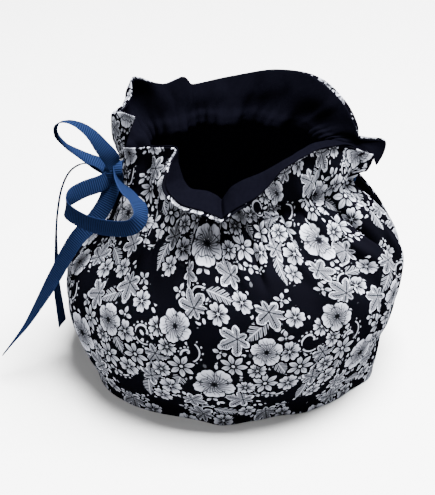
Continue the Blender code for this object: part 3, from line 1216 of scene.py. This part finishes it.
@dataclass(frozen=True)
class PrintedCotton(Cloth):
    """Navy cotton with the white flower print.

    Attributes:
        wear_scale: Worn places in a millimetre of the print.
    """

    name: str = "printed_cotton"
    dark: Row = (0.0007, 0.0007, 0.0012, 1.0)
    light: Row = (0.26, 0.27, 0.315, 1.0)
    roughness: float = 0.82
    wear_scale: float = 0.8

    def pattern(self, cloth: NodeSocket) -> tuple[Term, NodeSocket]:
        """The worn print on its weave."""
        tone = FlowerPrint(cloth).whole()
        wear = mottle(cloth, self.wear_scale)
        tone = tone * (tone * tone * 0.85 + 0.15) * (wear * 0.5 + 0.75)
        return tone, Weave().normal(cloth)


@dataclass(frozen=True)
class PlainCotton(Cloth):
    """Plain navy cotton of the linings.

    Attributes:
        blotch_scale: Blotches in a millimetre of the dye.
    """

    name: str = "lining_cotton"
    dark: Row = (0.0004, 0.0004, 0.0008, 1.0)
    light: Row = (0.0007, 0.0007, 0.0013, 1.0)
    roughness: float = 0.85
    blotch_scale: float = 0.35

    def pattern(self, cloth: NodeSocket) -> tuple[Term, NodeSocket]:
        """The uneven dye on its weave."""
        return mottle(cloth, self.blotch_scale, detail=4.0), Weave().normal(cloth)


@dataclass(frozen=True)
class Grosgrain(Cloth):
    """Blue ribbon with ribs across it, with painted shade between the ribs and painted
    highlights on their crests.

    Attributes:
        pitch: Distance between ribs, in millimetres.
        selvedge: Where the plain edge begins, from the ribbon's middle.
        strength: How strongly the ribs show.
        depth: Their depth, in metres.
    """

    name: str = "grosgrain"
    # The darker colour is the blue in painted shade between the ribs, the lighter one the
    # blue under a painted highlight on the rib crests.
    dark: Row = (0.0005, 0.0010, 0.0027, 1.0)
    light: Row = (0.0033, 0.0066, 0.0205, 1.0)
    roughness: float = 0.5
    pitch: float = 1.3
    selvedge: float = 4.3
    strength: float = 0.6
    depth: float = 0.25 * MM

    def pattern(self, cloth: NodeSocket) -> tuple[Term, NodeSocket]:
        """The ribs between two plain edges, coloured with painted shade in the grooves and
        painted highlights on the crests.
        """
        across, along, _ = split(cloth)
        rib = (along * (2 * math.pi / self.pitch)).sin() * 0.5 + 0.5
        inside = abs(across - RIBBON_WIDTH / 2).below(self.selvedge, 0.3)
        height = rib * inside + (1.0 - inside) * 0.7
        normal = relief_normal(height, self.strength, self.depth)
        # The colour share follows the rib height: painted shade in the grooves, painted
        # highlight on the crests, and a tone between them on the plain edges.
        return height * 0.75 + 0.1, normal


@dataclass(frozen=True)
class Layer:
    """One layer of cloth on one side of the cosy.

    Attributes:
        piece: Its piece's name, after the side's.
        node: The name of the node that it stands for, after the side's.
        slot: Its material slot's name, not used.
        foot: Where its lower edge is, and how much shorter it is cut for that.
        inset: How far inside the shared surface it lies.
        thickness: In metres.
        offset: 1 where its thickness goes outward, -1 inward.
        steps: How fine its grid is.
    """

    piece: str
    node: str
    slot: str
    foot: float
    inset: float
    thickness: float
    offset: float
    steps: GridSteps

    def build(self, form: ClothForm, finish: Material) -> Object:
        """Args:
            form: The shape of its side.
            finish: Its material.

        Returns:
            The piece.
        """
        side = form.side.name.lower()
        mesh = form.sheet(self.foot, self.steps, self.inset, self.offset > 0)
        piece = add_piece(f"{side}_{self.piece}", mesh, finish)
        add_thickness(piece, self.thickness, self.offset)
        declare(piece, f"{side}_{self.node}")
        return piece


PANEL = Layer(
    piece="printed_cover",
    node="panel",
    slot="printed_cotton",
    foot=0.0,
    inset=0.0,
    thickness=1.0 * MM,
    offset=1.0,
    steps=GridSteps(columns=150, body_rows=46, frill_rows=18),
)
LINING = Layer(
    piece="plain_lining",
    node="lining",
    slot="lining_cotton",
    foot=LINING_FOOT,
    inset=0.3 * MM,
    thickness=0.8 * MM,
    offset=-1.0,
    steps=GridSteps(columns=120, body_rows=36, frill_rows=16),
)


@dataclass
class Drawstring:
    """The grosgrain ribbon where it leaves the casing, in millimetres.

    Attributes:
        finish: Its material.
        width: Its width.
        thickness: Its thickness, in metres.
        step: Length of one face along it.
        reach: How far each way its direction is read.
        strands: Faces across it.
        cup: How far its edges curl off its middle.
        taper: How much the long tail narrows, 0 to 1.
        taper_length: Over what length.
        heart: Size of the knot's inner turn, its outer one being 1.
    """

    finish: Material
    width: float = RIBBON_WIDTH
    thickness: float = 0.55 * MM
    step: float = 1.6
    reach: float = 0.5
    strands: int = 6
    cup: float = 0.35
    taper: float = 0.8
    taper_length: float = 60.0
    heart: float = 0.45

    def strip(self, mesh: BMesh, route: Sequence[Row], taper: float = 0.0) -> float:
        """Add one strip of ribbon to a mesh.

        Args:
            mesh: Where it goes.
            route: Its route table.
            taper: How much its last stretch narrows, 0 to 1.

        Returns:
            The strip's length, in millimetres.
        """
        rows = []
        length = 0.0
        for index, row in enumerate(route):
            if index:
                length += math.dist(row[:3], route[index - 1][:3])
            rows.append((length, *row))
        steps = max(round(length / self.step), 2)
        made = bmesh.ops.create_grid(
            mesh, x_segments=steps, y_segments=self.strands, size=0.5
        )
        layer = mesh.loops.layers.uv.verify()
        places = {}
        for vertex in made["verts"]:
            along = (vertex.co.x + 0.5) * length
            across = vertex.co.y
            values = blend_rows(rows, along)
            ahead = blend_rows(rows, min(along + self.reach, length))
            behind = blend_rows(rows, max(along - self.reach, 0.0))
            run = (Vector(ahead[:3]) - Vector(behind[:3])).normalized()
            width = Vector(values[3:])
            width = (width - width.dot(run) * run).normalized()
            narrow = 1.0 - taper * smoothstep(length - self.taper_length, length, along)
            up = run.cross(width)
            sag = self.cup * (4.0 * across * across - 0.5)
            spot = Vector(values[:3]) + across * narrow * self.width * width + sag * up
            places[vertex] = ((across + 0.5) * self.width, along)
            vertex.co = MM * spot
        for face in {face for vertex in made["verts"] for face in vertex.link_faces}:
            for loop in face.loops:
                loop[layer].uv = places[loop.vert]
        return length

    @staticmethod
    def knot_turn(size: float) -> Table:
        """Lay one turn of ribbon round the knot.

        Args:
            size: Its size, 1 for the outermost.

        Returns:
            Its route table.
        """
        rows = []
        for index in range(KNOT_STEPS + 1):
            turn = math.radians(360.0 / KNOT_STEPS * index)
            y = KNOT_PLACE.y - size * KNOT_HALF_WIDTH * math.cos(turn)
            z = KNOT_PLACE.z + size * KNOT_HALF_HEIGHT * math.sin(turn)
            lean = (KNOT_LEAN[0] * math.sin(turn), KNOT_LEAN[1])
            rows.append((KNOT_PLACE.x, y, z, 1.0, *lean))
        return tuple(rows)

    def finish_ribbon(self, mesh: BMesh, name: str, node: str) -> Object:
        """Turn a mesh of strips into a ribbon piece, attached to the root and standing for
        its node.

        Args:
            mesh: The strips.
            name: The piece's name.
            node: The node that it stands for.

        Returns:
            The piece.
        """
        piece = add_piece(name, mesh, self.finish)
        add_thickness(piece, self.thickness, 0.0)
        declare(piece, node)
        return piece

    def build_bow(self) -> Object:
        """The knot, two loops, two tails and the span across the handle slit.

        Returns:
            The piece.
        """
        mesh = bmesh.new()
        length = self.strip(mesh, UPPER_LOOP)
        length += self.strip(mesh, LOWER_LOOP)
        length += self.strip(mesh, LONG_TAIL, self.taper)
        turns = (self.knot_turn(1.0), self.knot_turn(self.heart))
        for route in (SHORT_TAIL, HANDLE_SPAN, *turns):
            length += self.strip(mesh, route)
        return self.finish_ribbon(mesh, "drawstring_bow", "ribbon_bow")

    def build_spout_span(self) -> Object:
        """The run of ribbon across the spout slit."""
        mesh = bmesh.new()
        length = self.strip(mesh, SPOUT_SPAN)
        return self.finish_ribbon(mesh, "drawstring_spout_span", "ribbon_spout_span")


@dataclass(frozen=True)
class Studio:
    """Pale floor, soft lights and the camera.

    Attributes:
        aim: What the camera looks at, from the hem ring's middle.
        azimuth: Camera's direction in degrees; at 0 it looks along +Y.
        elevation: Its height angle.
        distance: How far it is.
        lens: Focal length in millimetres.
        clip_start: Where its view begins, in metres.
        lights: Each light's name, place in metres, side and power in watts.
        light_aim: What the lights point at.
        floor_shade: The floor's grey.
        floor_roughness: Its roughness.
        floor_size: Half its side, in metres.
        world_strength: Strength of the even light.
    """

    aim: Vector = Vector((-11.59 * MM, 1.63 * MM, 71.5 * MM))
    azimuth: float = -8.0
    elevation: float = 31.0
    distance: float = 0.85
    lens: float = 103.03
    clip_start: float = 0.05
    lights: tuple[tuple[str, Row, float, float], ...] = (
        ("key", (0.3, -0.05, 1.5), 0.8, 580.0),
        ("fill", (-0.9, -0.9, 0.8), 0.9, 18.0),
    )
    light_aim: Vector = Vector((0.0, 0.0, 0.08))
    floor_shade: float = 0.34
    floor_roughness: float = 0.9
    floor_size: float = 6.0
    world_strength: float = 0.4

    @staticmethod
    def point(name: str, data: ID, place: Vector, way: Vector) -> Object:
        """Add a camera or a light.

        Args:
            name: Its name.
            data: Its settings.
            place: Where it is.
            way: Which way it looks.

        Returns:
            The linked object.
        """
        item = bpy.data.objects.new(name, data)
        item.location = place
        item.rotation_euler = way.to_track_quat("-Z", "Y").to_euler()
        bpy.context.scene.collection.objects.link(item)
        return item

    def add_camera(self) -> None:
        """Place the camera."""
        turn, rise = math.radians(self.azimuth), math.radians(self.elevation)
        flat = math.cos(rise)
        back = Vector((math.sin(turn) * flat, -math.cos(turn) * flat, math.sin(rise)))
        lens = bpy.data.cameras.new("camera")
        lens.lens = self.lens
        lens.clip_start = self.clip_start
        place = HEM_CENTRE + self.aim + back * self.distance
        bpy.context.scene.camera = self.point("camera", lens, place, -back)

    def add_lights(self) -> None:
        """Add the square soft lights, pointed at the cosy."""
        for name, place, size, power in self.lights:
            lamp = bpy.data.lights.new(name, "AREA")
            lamp.shape = "SQUARE"
            lamp.size = size
            lamp.energy = power
            self.point(name, lamp, Vector(place), self.light_aim - Vector(place))

    def add_floor(self) -> None:
        """Lay the pale floor."""
        material, shader = new_material("pale_floor")
        shade = (*[self.floor_shade] * 3, 1.0)
        feed(shader, {"Base Color": shade, "Roughness": self.floor_roughness})
        mesh = bmesh.new()
        bmesh.ops.create_grid(mesh, x_segments=1, y_segments=1, size=self.floor_size)
        floor = add_piece("floor", mesh, material)

    def add_world(self) -> None:
        """Even white light from all round."""
        world = bpy.data.worlds.new("studio")
        world.use_nodes = True
        white = (1.0, 1.0, 1.0, 1.0)
        background = world.node_tree.nodes["Background"]
        feed(background, {"Color": white, "Strength": self.world_strength})
        bpy.context.scene.world = world

    def build(self) -> None:
        """Set up the whole studio."""
        self.add_camera()
        self.add_floor()
        self.add_world()
        self.add_lights()


def main() -> None:
    """Build the cosy piece by piece."""
    logging.basicConfig(level=logging.INFO, format="%(name)s: %(message)s")
    Studio().build()
    print_cotton = PrintedCotton().make()
    lining_cotton = PlainCotton().make()
    grosgrain = Grosgrain().make()
    for side in Side:
        form = ClothForm(side)
        for layer, finish in ((PANEL, print_cotton), (LINING, lining_cotton)):
            LOG.info("made %s", layer.build(form, finish).name)
    drawstring = Drawstring(grosgrain)
    LOG.info("made %s", drawstring.build_bow().name)
    LOG.info("made %s", drawstring.build_spout_span().name)


if __name__ == "__main__":
    main()
